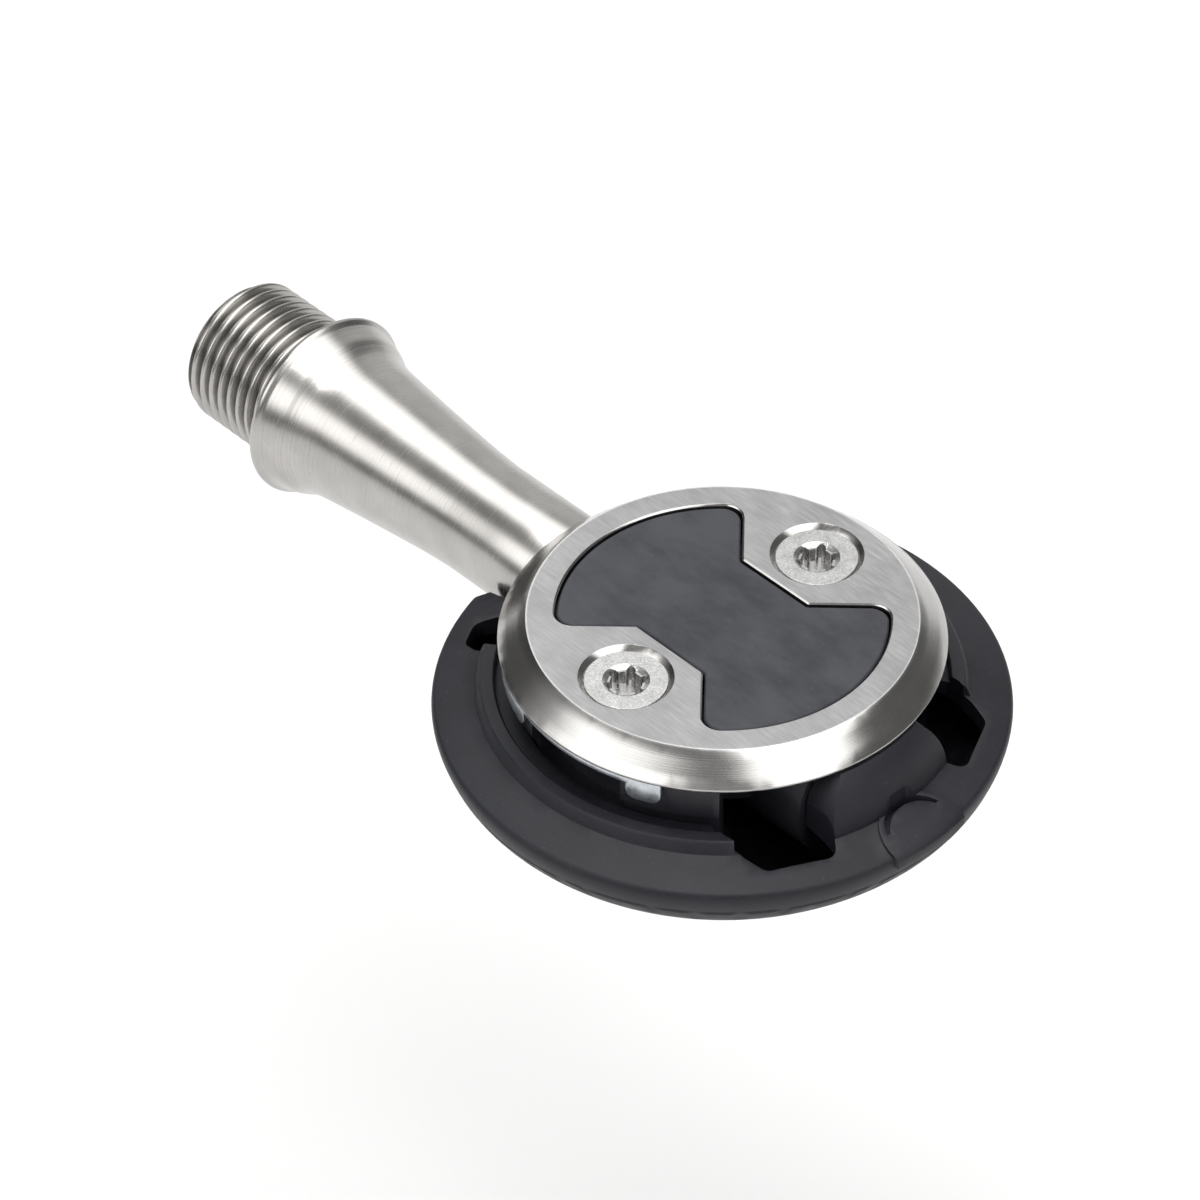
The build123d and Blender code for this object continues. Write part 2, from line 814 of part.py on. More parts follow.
def mouth_outline():
    """The fairing's mouth widens where the spindle comes in."""
    slant = (mouth_x - mouth_rim_x) / (mouth_half_width - channel_radius)
    inside = channel_radius - overlap
    reach = -far_reach() + overlap
    upper = [(mouth_x + slant * overlap, inside), (mouth_rim_x, mouth_half_width), (reach, mouth_half_width)]
    return upper + [(x, -y) for x, y in reversed(upper)]


def pocket_cuts():
    """Two pockets each side of the tongue and of the spindle, open towards the neck."""
    outboard_pocket = [
        polar(17.6, 47.5),
        polar(19.8, 45.6),
        polar(20.7, 43.4),
        polar(21.3, 41.3),
        polar(22.1, 39.4),
        polar(pocket_outer, 35.0),
        polar(pocket_outer, 19.6),
        polar(21.9, 18.2),
        (19.6, tongue_side),
        (tongue_start - 1.5, tongue_side),
    ]
    crank_pocket = [
        polar(17.6, 144.0),
        polar(21.5, 144.4),
        polar(22.3, 145.0),
        polar(pocket_outer, 147.5),
        polar(pocket_outer, 154.5),
        polar(21.8, 157.0),
        polar(17.6, 159.0),
    ]
    cuts = []
    for points in (outboard_pocket, crank_pocket):
        outline = make_face(closed(points))
        corners = [v for v in outline.vertices() if math.hypot(v.X, v.Y) > pocket_outer - 0.05]
        cuts.extend(both_sides(upright(fillet(corners, pocket_fillet), -4.0, 4.0)))
    return cuts


def far_reach():
    return 2 * rim_side_radius


def fairing_screw(x, y):
    bottom = fairing_seat - fairing_head_height
    head = along_z(fairing_head_radius, x, y, bottom, fairing_seat)
    rim = head.edges().filter_by(GeomType.CIRCLE).sort_by(Axis.Z)[0]
    head = fillet(rim, 0.5)
    shank = along_z(fairing_screw_radius, x, y, fairing_seat, fairing_screw_tip)
    recess = Pos(centre_x + x, y, bottom) * Rot(180, 0, 0) * six_lobe("small")
    return head + shank - recess


def save(name, *solids):
    found = []
    for item in solids:
        found.extend(item.solids())
    shape = found[0] if len(found) == 1 else Compound(children=found)
    export_step(shape, f"parts/{name}.step")
    print(name, len(found), round(sum(solid.volume for solid in found), 2))


def middles():
    return [start + ball_bearing_width / 2 for start in bearing_places()]


save("spindle", make_spindle())
save("spindle_screw", make_end_screw())
save("spindle_washer", make_washer())
save("bearing_inner_rings", *[inner_ring(start) for start in bearing_places()])
save("bearing_outer_rings", *[outer_ring(start) for start in bearing_places()])
shields = []
for start in bearing_places():
    shields.append(shield(start + shield_inset))
    shields.append(shield(start + ball_bearing_width - shield_inset - shield_thickness))
save("bearing_shields", *shields)
for label, middle in zip(("inboard", "outboard"), middles()):
    save(f"ball_cage_{label}", ball_cage(middle))
    save(f"balls_{label}", *balls(middle))
save("needle_cup", make_needle_cup())
save("needle_cage", make_needle_cage())
save("needle_rollers", *needle_bars(needle_radius, needle_length))
save("lip_seal", make_lip_seal())
save("snap_ring", make_snap_ring())
save("end_plug", make_end_plug())
save("plug_o_ring", make_plug_ring())
save("core_body", make_core_body())
save("top_plate", make_plate())
save("plate_insert", make_insert())
save("plate_screws", *[plate_screw(x, y) for x, y in plate_screw_spots()])
plate_bushes = [
    bush(plate_bush_radius, plate_screw_radius, x, y, plate_bush_bottom, plate_bush_top)
    for x, y in plate_screw_spots()
]
save("plate_bushes", *plate_bushes)
save("wear_clips", *both_sides(wear_clip()))
save("aero_fairing", make_fairing())
save("fairing_screws", *[fairing_screw(x, y) for x, y in fairing_screw_spots()])
fairing_bushes = [
    bush(fairing_bush_radius, fairing_screw_radius, x, y, fairing_joint_z + bush_recess, fairing_bush_top)
    for x, y in fairing_screw_spots()
]
save("fairing_bushes", *fairing_bushes)
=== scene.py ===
import bmesh
import bpy
import math
from mathutils import Matrix, Vector


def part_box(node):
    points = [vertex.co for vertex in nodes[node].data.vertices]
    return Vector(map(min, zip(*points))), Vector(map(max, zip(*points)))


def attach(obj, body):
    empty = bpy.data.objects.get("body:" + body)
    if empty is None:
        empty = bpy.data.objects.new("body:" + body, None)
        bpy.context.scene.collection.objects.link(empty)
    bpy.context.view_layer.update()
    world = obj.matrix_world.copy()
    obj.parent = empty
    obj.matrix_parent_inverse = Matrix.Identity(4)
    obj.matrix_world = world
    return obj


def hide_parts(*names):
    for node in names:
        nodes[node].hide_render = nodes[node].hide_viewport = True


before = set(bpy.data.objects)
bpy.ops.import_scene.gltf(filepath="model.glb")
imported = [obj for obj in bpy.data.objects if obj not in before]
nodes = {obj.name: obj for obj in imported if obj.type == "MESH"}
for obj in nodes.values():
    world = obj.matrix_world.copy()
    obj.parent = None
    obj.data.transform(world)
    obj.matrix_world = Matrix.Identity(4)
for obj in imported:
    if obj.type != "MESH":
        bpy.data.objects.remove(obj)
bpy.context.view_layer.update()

mm = 0.001
plateLow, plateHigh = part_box("top_plate")
middle = (plateLow + plateHigh) / 2          # the pedal's middle, on the upright axis
plateTop = plateHigh.z / mm
print("frame loaded:", len(nodes), "nodes")


# nodes as plain expressions

class Wire:
    # one output socket; sums and products of wires add Math nodes
    def __init__(self, tree, socket):
        self.tree = tree
        self.socket = socket

    def maths(self, operation, first, second=None):
        return self.tree.add("ShaderNodeMath", {"operation": operation}, {0: first, 1: second})

    def __add__(self, other):
        return self.maths("ADD", self, other)

    def __radd__(self, other):
        return self.maths("ADD", other, self)

    def __sub__(self, other):
        return self.maths("SUBTRACT", self, other)

    def __rsub__(self, other):
        return self.maths("SUBTRACT", other, self)

    def __mul__(self, other):
        return self.maths("MULTIPLY", self, other)

    def __rmul__(self, other):
        return self.maths("MULTIPLY", other, self)

    def __truediv__(self, other):
        return self.maths("DIVIDE", self, other)

    def __pow__(self, other):
        return self.maths("POWER", self, other)

    def least(self, other):
        return self.maths("MINIMUM", self, other)

    def most(self, other):
        return self.maths("MAXIMUM", self, other)

    def ramp(self, low, high):
        # 0 below low, 1 above high, with soft shoulders
        return self.tree.add("ShaderNodeMapRange", {"interpolation_type": "SMOOTHSTEP"},
                             {"Value": self, "From Min": low, "From Max": high})


class Tree:
    def __init__(self, nodeTree):
        self.inside = nodeTree

    def add(self, kind, settings=None, values=None, out=0):
        node = self.inside.nodes.new(kind)
        for key, value in (settings or {}).items():
            setattr(node, key, value)
        for key, value in (values or {}).items():
            if isinstance(value, Wire):
                self.inside.links.new(value.socket, node.inputs[key])
            elif value is not None:
                node.inputs[key].default_value = value
        return Wire(self, node.outputs[out])

    def split(self, vector):
        first = self.add("ShaderNodeSeparateXYZ", values={0: vector})
        return [Wire(self, socket) for socket in first.socket.node.outputs]

    def noise(self, vector, scale, detail=2.0, roughness=0.5):
        return self.add("ShaderNodeTexNoise", values={
            "Vector": vector, "Scale": scale, "Detail": detail, "Roughness": roughness})

    def lines(self, along, scale, detail=2.0):
        # noise that changes in one direction only, as tool marks do
        return self.add("ShaderNodeTexNoise", {"noise_dimensions": "1D"}, {
            "W": along, "Scale": scale, "Detail": detail, "Roughness": 0.6})

    def stretch(self, vector, factors):
        return self.add("ShaderNodeVectorMath", {"operation": "MULTIPLY"}, {0: vector, 1: factors})

    def tint(self, amount, dark, light):
        return self.add("ShaderNodeMix", {"data_type": "RGBA"}, {
            0: amount, 6: (*dark, 1.0), 7: (*light, 1.0)}, out=2)

    def between(self, amount, low, high):
        return self.add("ShaderNodeMix", {"data_type": "RGBA"}, {0: amount, 6: low, 7: high}, out=2)

    def over(self, amount, below, above):
        # a plain colour laid over what is there
        return self.add("ShaderNodeMix", {"data_type": "RGBA"}, {
            0: amount, 6: below, 7: (*above, 1.0)}, out=2)

    def bump(self, height, depth, normal=None):
        # depth in millimetres
        return self.add("ShaderNodeBump", values={
            "Height": height, "Distance": depth * mm, "Normal": normal})


def newFinish(name, fixed):
    # a material with its even values set on the shader's own sockets
    material = bpy.data.materials.new(name)
    material.use_nodes = True
    shader = material.node_tree.nodes["Principled BSDF"]
    for key, value in fixed.items():
        shader.inputs[key].default_value = value
    tree = Tree(material.node_tree)
    place = tree.add("ShaderNodeTexCoord", out="Object")
    local = tree.add("ShaderNodeMapping", {"vector_type": "TEXTURE"}, {
        0: place, "Location": (middle.x, 0.0, 0.0), "Scale": (mm, mm, mm)})
    return material, tree, shader, local


def connect(tree, shader, colour, roughness, normal):
    for name, wire in (("Base Color", colour), ("Roughness", roughness), ("Normal", normal)):
        tree.inside.links.new(wire.socket, shader.inputs[name])


# finishes, with sizes in millimetres from the pedal's middle

def turnedSteel():
    look = {"dark": (0.40, 0.39, 0.375), "light": (0.525, 0.512, 0.495), "shade": (0.35, 0.95),
            "lineScale": 9.0, "fineScale": 34.0, "hazeScale": 0.35, "depth": 0.0017, "roughness": 0.165,
            "scratch": (0.3, 0.29, 0.28), "scratchStretch": (11.0, 0.35, 0.35), "scratchFrom": (0.645, 0.72),
            "root": (0.11, 0.107, 0.103), "rootAlong": (-64.9, -54.6), "rootReach": (5.6, 6.4, 6.95)}
    material, tree, shader, place = newFinish("turnedStainless", {"Metallic": 1.0})
    x, y, z = tree.split(place)
    reach = (y * y + z * z) ** 0.5
    along = x + reach                       # goes on across end faces
    wide = tree.lines(along, look["lineScale"])
    fine = tree.lines(along, look["fineScale"], 3.0)
    scratch = tree.noise(tree.stretch(place, look["scratchStretch"]), 1.0, 3.0).ramp(*look["scratchFrom"])
    haze = tree.noise(place, look["hazeScale"], 3.0)
    shade = (wide * 0.45 + fine * 0.35 + haze * 0.5).ramp(*look["shade"])
    colour = tree.tint(shade, look["dark"], look["light"])
    colour = tree.over(scratch * 0.25, colour, look["scratch"])
    # painted shade: the colour darkens in the roots of the thread
    start, end = look["rootAlong"]
    inside, low, high = look["rootReach"]
    root = (1.0 - reach.ramp(low, high)) * reach.ramp(inside, inside + 0.2)
    root = root * x.ramp(start - 0.4, start) * (1.0 - x.ramp(end, end + 0.3))
    colour = tree.over(root * 0.6, colour, look["root"])
    rough = fine * 0.1 + haze * 0.08 + scratch * 0.12 + look["roughness"]
    height = wide * 0.6 + fine * 0.5 - scratch * 0.5
    connect(tree, shader, colour, rough, tree.bump(height, look["depth"]))
    return material


def plateSteel():
    look = {"topDark": (0.375, 0.375, 0.382), "topLight": (0.485, 0.485, 0.492), "topRoughness": 0.25,
            "grainScale": 7.0, "cloudScale": 0.28, "sweptStretch": (0.4, 5.5, 1.0),
            "sideDark": (0.40, 0.395, 0.385), "sideLight": (0.56, 0.552, 0.54), "sideRoughness": 0.08,
            "ringScale": 7.0, "fineScale": 26.0, "flowScale": 0.22, "slope": 1.3,
            "edge": (0.85, 0.85, 0.84), "edgeHighlightIn": (17.02, 17.16), "edgeHighlightOut": (17.24, 17.36), "depth": 0.0024}
    material, tree, shader, place = newFinish("plateStainless", {"Metallic": 1.0})
    x, y, z = tree.split(place)
    reach = (x * x + y * y) ** 0.5
    onTop = z.ramp(plateTop - 0.03, plateTop - 0.01)
    # satin top: fine grain with a few long faint scratches
    grain = tree.noise(place, look["grainScale"], 4.0, 0.65)
    cloud = tree.noise(place, look["cloudScale"], 3.0)
    swept = tree.noise(tree.stretch(place, look["sweptStretch"]), 1.0, 4.0).ramp(0.35, 0.75)
    topShade = (grain * 0.3 + cloud * 0.6 + swept * 0.2).ramp(0.3, 0.8)
    topColour = tree.tint(topShade, look["topDark"], look["topLight"])
    # turned bevel: rings that follow the rim
    outward = z * look["slope"] - reach
    ring = tree.lines(outward, look["ringScale"], 3.0)
    fineRing = tree.lines(outward, look["fineScale"], 2.0)
    flow = tree.noise(place, look["flowScale"], 2.0)
    sideShade = (ring * 0.5 + fineRing * 0.3 + flow * 0.35).ramp(0.3, 0.85)
    sideColour = tree.tint(sideShade, look["sideDark"], look["sideLight"])
    # painted highlight: a bright line where the flat top meets the bevel
    edge = reach.ramp(*look["edgeHighlightIn"]) * (1.0 - reach.ramp(*look["edgeHighlightOut"]))
    colour = tree.between(onTop, sideColour, topColour)
    colour = tree.over(edge * 0.7, colour, look["edge"])
    topRough = grain * 0.1 + swept * 0.06 + look["topRoughness"]
    sideRough = fineRing * 0.1 + ring * 0.08 + look["sideRoughness"]
    rough = topRough * onTop + sideRough * (1.0 - onTop)
    height = (grain * 0.5 + swept * 0.35) * onTop + (ring * 0.8 + fineRing * 0.5) * (1.0 - onTop)
    connect(tree, shader, colour, rough, tree.bump(height, look["depth"]))
    return material


def platedSteel(name, dark, light, roughness, grainSize=5.0, depth=0.003):
    # zinc-plated or plain small parts, with the faint cloud of the plating
    material, tree, shader, place = newFinish(name, {"Metallic": 1.0})
    grain = tree.noise(place, grainSize, 4.0, 0.6)
    cloud = tree.noise(place, 0.9, 3.0)
    spot = tree.noise(place, 2.6, 2.0).ramp(0.64, 0.72)
    colour = tree.tint((grain * 0.45 + cloud * 0.6).ramp(0.3, 0.75), dark, light)
    rough = grain * 0.14 + cloud * 0.08 + spot * 0.1 + (roughness - 0.1)
    connect(tree, shader, colour, rough, tree.bump(grain + cloud * 0.6, depth))
    return material


def screwSteel():
    look = {"dark": (0.60, 0.60, 0.595), "light": (0.84, 0.84, 0.835), "roughness": 0.16, "depth": 0.006,
            "grainScale": 4.5, "cloudScale": 0.8, "pit": (0.3, 0.3, 0.3), "pitScale": 3.1,
            "socketShade": (0.15, 0.146, 0.14), "socketShadeDepth": (0.96, 0.46)}
    material, tree, shader, place = newFinish("screwSteel", {"Metallic": 1.0})
    height = tree.split(place)[2]
    grain = tree.noise(place, look["grainScale"], 4.0, 0.6)
    cloud = tree.noise(place, look["cloudScale"], 3.0)
    pit = tree.noise(place, look["pitScale"], 2.0).ramp(0.66, 0.73)
    # painted shade: the colour darkens down inside the screw sockets, below the plate's top
    deep, shallow = look["socketShadeDepth"]
    socketShade = 1.0 - height.ramp(plateTop - deep, plateTop - shallow)
    colour = tree.tint((grain * 0.5 + cloud * 0.6).ramp(0.3, 0.8), look["dark"], look["light"])
    colour = tree.over(socketShade * 0.45, colour, look["socketShade"])
    colour = tree.over(pit * 0.3, colour, look["pit"])
    rough = grain * 0.16 + pit * 0.15 + look["roughness"]
    connect(tree, shader, colour, rough, tree.bump(grain + cloud * 0.5 - pit, look["depth"]))
    return material


def insertPlastic():
    look = {"dark": (0.0195, 0.0205, 0.026), "light": (0.042, 0.0435, 0.051), "dust": (0.09, 0.091, 0.097),
            "grainScale": 9.0, "cloudScale": 0.16, "swirlStretch": (0.5, 1.3, 1.0), "swirlScale": 0.55,
            "rubStretch": (0.6, 4.0, 1.0), "rubScale": 1.1, "speckScale": 3.3,
            "roughness": 0.46, "depth": 0.02}
    material, tree, shader, place = newFinish("insertPlastic", {"Specular IOR Level": 0.42})
    grain = tree.noise(place, look["grainScale"], 4.0, 0.65)
    cloud = tree.noise(place, look["cloudScale"], 3.0)
    swirl = tree.noise(tree.stretch(place, look["swirlStretch"]), look["swirlScale"], 5.0, 0.65)
    rub = tree.noise(tree.stretch(place, look["rubStretch"]), look["rubScale"], 4.0, 0.7).ramp(0.6, 0.78)
    speck = tree.noise(place, look["speckScale"], 1.0).ramp(0.71, 0.76)
    shade = (cloud * 0.7 + swirl * 0.6 + grain * 0.12 - 0.12).ramp(0.35, 0.75)
    colour = tree.tint(shade, look["dark"], look["light"])
    colour = tree.over(rub * 0.2 + speck * 0.35, colour, look["dust"])
    rough = grain * 0.1 - rub * 0.05 + swirl * 0.12 + look["roughness"]
    connect(tree, shader, colour, rough, tree.bump(grain * 0.7 + swirl * 0.5, look["depth"]))
    return material


def mouldedNylon():
    look = {"dark": (0.0065, 0.0068, 0.0102), "light": (0.0125, 0.013, 0.0182), "scuff": (0.06, 0.061, 0.068),
            "grainScale": 7.0, "cloudScale": 0.14, "flowScale": 0.6, "speckScale": 2.4,
            "roughness": 0.38, "depth": 0.016,
            "dimpleSize": 2.7, "dimpleDepth": 0.22, "dimpleBelow": (-3.8, -3.2)}
    material, tree, shader, place = newFinish("mouldedNylon", {"Specular IOR Level": 0.33})
    grain = tree.noise(place, look["grainScale"], 4.0, 0.65)
    cloud = tree.noise(place, look["cloudScale"], 3.0)
    flow = tree.noise(place, look["flowScale"], 5.0, 0.7)
    speck = tree.noise(place, look["speckScale"], 2.0).ramp(0.66, 0.74)
    shade = (cloud * 0.55 + flow * 0.45 + grain * 0.12).ramp(0.32, 0.82)
    colour = tree.tint(shade, look["dark"], look["light"])
    colour = tree.over(speck * flow * 0.35, colour, look["scuff"])
    rough = grain * 0.1 + flow * 0.16 + look["roughness"]
    skin = tree.bump(grain * 0.7 + flow * 0.8, look["depth"])
    # shallow round dimples over the underside
    cell = tree.add("ShaderNodeTexVoronoi", {"voronoi_dimensions": "2D", "feature": "F1"}, {
        "Vector": place, "Scale": 1.0 / look["dimpleSize"], "Randomness": 0.0}, out="Distance")
    under = 1.0 - tree.split(place)[2].ramp(*look["dimpleBelow"])
    dimple = cell.ramp(0.05, 0.4) * under
    connect(tree, shader, colour, rough, tree.bump(dimple, look["dimpleDepth"], skin))
    return material


def glassNylon():
    look = {"dark": (0.0105, 0.0108, 0.0145), "light": (0.018, 0.0188, 0.025), "fleck": (0.06, 0.06, 0.065),
            "fibreStretch": (1.2, 1.2, 3.4), "fibreScale": 2.2, "cloudScale": 0.3, "fleckScale": 6.0,
            "roughness": 0.38, "depth": 0.02}
    material, tree, shader, place = newFinish("glassNylon", {"Specular IOR Level": 0.5})
    fibre = tree.noise(tree.stretch(place, look["fibreStretch"]), look["fibreScale"], 4.0, 0.7)
    cloud = tree.noise(place, look["cloudScale"], 3.0)
    fleck = tree.noise(place, look["fleckScale"], 2.0).ramp(0.66, 0.74)
    colour = tree.tint((fibre * 0.5 + cloud * 0.6).ramp(0.32, 0.8), look["dark"], look["light"])
    colour = tree.over(fleck * 0.12, colour, look["fleck"])
    rough = fibre * 0.16 + look["roughness"]
    connect(tree, shader, colour, rough, tree.bump(fibre + fleck * 0.3, look["depth"]))
    return material


def rubber():
    look = {"dark": (0.012, 0.012, 0.013), "bloom": (0.03, 0.03, 0.032), "grainScale": 6.0, "bloomScale": 0.8,
            "roughness": 0.5, "depth": 0.01}
    material, tree, shader, place = newFinish("sealRubber", {"Specular IOR Level": 0.35})
    grain = tree.noise(place, look["grainScale"], 4.0, 0.6)
    bloom = tree.noise(place, look["bloomScale"], 3.0).ramp(0.45, 0.8)
    colour = tree.tint(bloom, look["dark"], look["bloom"])
    rough = grain * 0.15 + bloom * 0.1 + look["roughness"]
    connect(tree, shader, colour, rough, tree.bump(grain, look["depth"]))
    return material


finishes = {
    "stainless": turnedSteel(),
    "stainless_plate": plateSteel(),
    "bright_steel": screwSteel(),
    "zinc_steel": platedSteel("zincSteel", (0.50, 0.53, 0.56), (0.74, 0.78, 0.82), 0.34,
                              grainSize=3.5, depth=0.008),
    "hard_steel": platedSteel("hardSteel", (0.34, 0.34, 0.35), (0.5, 0.5, 0.51), 0.26),
    "bearing_steel": platedSteel("bearingSteel", (0.52, 0.52, 0.53), (0.66, 0.66, 0.67), 0.14,
                                 grainSize=9.0, depth=0.001),
    "brass": platedSteel("bushBrass", (0.56, 0.4, 0.14), (0.76, 0.58, 0.25), 0.28,
                         grainSize=6.0, depth=0.004),
    "brass_cage": platedSteel("cageBrass", (0.5, 0.36, 0.14), (0.7, 0.53, 0.25), 0.36,
                              grainSize=4.0, depth=0.005),
    "black_rubber": rubber(),
    "black_nylon": mouldedNylon(),
    "black_composite": glassNylon(),
    "charcoal_plastic": insertPlastic(),
}
for node in nodes.values():
    for slot in node.material_slots:
        slot.material = finishes[slot.material.name.split(".")[0]]
print("finishes on", len(nodes), "nodes")


# the spindle, with its thread cut as one helix; sizes in millimetres from the crank seat

thread = {"crestRadius": 7.1, "depth": 0.78, "pitch": 1.27, "endX": -12.0, "landX": -0.95,
          "chamfer": 0.9, "runOut": 0.75, "crestFlat": 0.16, "stepsPerTurn": 20, "columns": 192}
spindleShape = {
    "meshSteps": 7, "socketAcross": 8.0, "socketFloor": -4.0, "socketMouth": 4.8, "mouthDepth": 0.8,
    "seat": [(-0.2, 7.1), (-0.06, 7.14), (0.0, 7.28), (0.0, 8.86), (0.07, 9.02), (0.24, 9.1),
             (0.45, 9.1), (0.6, 9.04), (0.76, 8.88), (0.95, 8.72)],
    "flare": [(0.95, 8.72), (1.3, 8.6), (1.9, 8.42), (2.7, 8.17), (3.4, 7.82), (4.3, 7.44),
              (5.6, 7.16), (7.4, 6.94), (11.5, 6.48), (18.5, 5.8), (22.5, 5.55)],
    "inner": [(22.5, 5.55), (28.0, 5.55), (35.02, 5.55), (35.12, 5.5), (35.75, 4.9), (36.2, 4.9),
              (36.4, 4.5), (39.1, 4.5), (39.4, 4.0), (46.0, 4.0), (54.4, 4.0), (54.5, 3.9),
              (54.5, 3.05), (54.55, 3.0), (61.8, 3.0), (62.3, 2.5), (62.3, 2.06), (62.2, 2.02),
              (51.3, 2.02)],
}


def threadSizes():
    length = thread["landX"] - thread["endX"]
    return {"Crest Radius": thread["crestRadius"] * mm, "Depth": thread["depth"] * mm,
            "Pitch": thread["pitch"] * mm, "Length": length * mm, "Start": thread["landX"] * mm,
            "Chamfer": thread["chamfer"] * mm, "Columns": thread["columns"]}


def threadGroup(sizes):
    group = bpy.data.node_groups.new("cutThread", "GeometryNodeTree")
    group.interface.new_socket("Geometry", in_out="OUTPUT", socket_type="NodeSocketGeometry")
    ids = {}
    for name, value in sizes.items():
        kind = "NodeSocketInt" if name == "Columns" else "NodeSocketFloat"
        socket = group.interface.new_socket(name, in_out="INPUT", socket_type=kind)
        socket.default_value = value
        ids[name] = socket.identifier
    tree = Tree(group)
    given = group.nodes.new("NodeGroupInput")
    wire = {name: Wire(tree, given.outputs[name]) for name in sizes}
    turns = math.ceil(sizes["Length"] / sizes["Pitch"]) + 1
    rows = turns * thread["stepsPerTurn"] + 1
    grid = tree.add("GeometryNodeMeshGrid", values={
        "Size X": 1.0, "Size Y": 1.0, "Vertices X": rows, "Vertices Y": wire["Columns"] + 1.0})
    across, along, upward = tree.split(tree.add("GeometryNodeInputPosition"))
    turn = along + 0.5
    climb = (across + 0.5) * float(turns)       # in pitches, even all along one row of faces
    travel = (climb - turn).most(0.0).least(wire["Length"] / wire["Pitch"])
    phase = (travel + turn).maths("FRACT", travel + turn)
    fromCrest = (phase - 0.5).maths("ABSOLUTE", phase - 0.5) * -2.0 + 1.0
    cut = fromCrest.ramp(thread["crestFlat"] - 0.05, 1.05 - thread["crestFlat"])
    cut = cut * travel.ramp(0.0, thread["runOut"])
    radius = wire["Crest Radius"] - wire["Depth"] * cut
    toEnd = wire["Length"] - travel * wire["Pitch"]
    radius = radius.least(wire["Crest Radius"] - wire["Chamfer"] + toEnd)
    angle = turn * (2.0 * math.pi)
    placed = tree.add("ShaderNodeCombineXYZ", values={
        0: wire["Start"] - travel * wire["Pitch"],
        1: angle.maths("COSINE", angle) * radius,
        2: angle.maths("SINE", angle) * radius})
    moved = tree.add("GeometryNodeSetPosition", values={"Geometry": grid, "Position": placed})
    closed = tree.add("GeometryNodeMergeByDistance", values={
        "Geometry": moved, "Distance": 0.002 * mm})
    real = tree.add("GeometryNodeRealizeInstances", values={0: closed})
    done = tree.add("GeometryNodeSetMaterial", values={0: real, "Material": finishes["stainless"]})
    result = group.nodes.new("NodeGroupOutput")
    group.links.new(done.socket, result.inputs[0])
    return group, ids


def threadMesh():
    sizes = threadSizes()
    group, ids = threadGroup(sizes)
    carrier = bpy.data.objects.new("threadCarrier", bpy.data.meshes.new("threadCarrier"))
    bpy.context.scene.collection.objects.link(carrier)
    modifier = carrier.modifiers.new("cutThread", "NODES")
    modifier.node_group = group
    for name, value in sizes.items():
        modifier[ids[name]] = value
    depsgraph = bpy.context.evaluated_depsgraph_get()
    mesh = bpy.data.meshes.new_from_object(carrier.evaluated_get(depsgraph))
    bpy.data.objects.remove(carrier)
    return mesh


def smoothLine(points, steps):
    # a curve through every point, with even steps between each pair
    line = []
    ends = [points[0]] + points + [points[-1]]
    for before, start, end, after in zip(ends, ends[1:], ends[2:], ends[3:]):
        for step in range(steps):
            t = step / steps
            weights = (-t + 2 * t ** 2 - t ** 3, 2 - 5 * t ** 2 + 3 * t ** 3,
                       t + 4 * t ** 2 - 3 * t ** 3, t ** 3 - t ** 2)
            held = list(zip(weights, (before, start, end, after)))
            line.append(tuple(0.5 * sum(weight * point[axis] for weight, point in held) for axis in (0, 1)))
    return line + [points[-1]]


def turnedRows(bm, rows, closeStart=False, closeEnd=False):
    # each row is a place along X and a radius, or a radius for each angle
    columns = thread["columns"]
    rings = []
    for x, radius in rows:
        ring = []
        for column in range(columns):
            angle = 2 * math.pi * column / columns
            reach = radius(angle) if callable(radius) else radius
            place = Vector((x, math.cos(angle) * reach, math.sin(angle) * reach))
            ring.append(bm.verts.new(place * mm))
        rings.append(ring)
    for ring, nextRing in zip(rings, rings[1:]):
        for column in range(columns):
            other = (column + 1) % columns
            bm.faces.new((ring[column], nextRing[column], nextRing[other], ring[other]))
    for wanted, ring, row in ((closeStart, rings[0], rows[0]), (closeEnd, rings[-1], rows[-1])):
        if wanted:
            hub = bm.verts.new((row[0] * mm, 0.0, 0.0))
            for column in range(columns):
                bm.faces.new((ring[column], ring[(column + 1) % columns], hub))


def socketRadius(x):
    flat = spindleShape["socketAcross"] / 2
    cone = spindleShape["socketMouth"] - (x - thread["endX"])

    def atAngle(angle):
        turned = (angle + math.pi / 6) % (math.pi / 3) - math.pi / 6
        return max(flat / math.cos(turned), cone)
    return atAngle


def smoothByAngle(bm, limit=32.0):
    # degrees between faces, past which the edge stays sharp
    for face in bm.faces:
        face.smooth = True
    for edge in bm.edges:
        edge.smooth = edge.calc_face_angle(0.0) < math.radians(limit)


def makeSpindle():
    bm = bmesh.new()
    bm.from_mesh(threadMesh())
    end = thread["endX"]
    mouth = [end + spindleShape["mouthDepth"] * step / 6 for step in range(6, -1, -1)]
    socket = [(spindleShape["socketFloor"], socketRadius(0.0))]
    socket += [(x, socketRadius(x)) for x in mouth]
    turnedRows(bm, socket + [(end, thread["crestRadius"] - thread["chamfer"])], closeStart=True)
    outside = [(thread["landX"], thread["crestRadius"])] + spindleShape["seat"]
    outside += smoothLine(spindleShape["flare"], spindleShape["meshSteps"])[1:] + spindleShape["inner"][1:]
    turnedRows(bm, outside, closeEnd=True)
    bmesh.ops.remove_doubles(bm, verts=bm.verts, dist=0.004 * mm)
    bmesh.ops.recalc_face_normals(bm, faces=bm.faces)
    smoothByAngle(bm)
    mesh = bpy.data.meshes.new("spindleTurned")
    bm.to_mesh(mesh)
    openEdges = sum(1 for edge in bm.edges if not edge.is_manifold)
    bm.free()
    spindle = bpy.data.objects.new("spindleTurned", mesh)
    bpy.context.scene.collection.objects.link(spindle)
    mesh.materials.clear()
    mesh.materials.append(finishes["stainless"])
    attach(spindle, "spindle")
    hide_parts("spindle")
    print("spindle:", len(mesh.polygons), "faces,", openEdges, "open edges")


makeSpindle()


# softened edges on the moulded and machined pieces, widths in millimetres

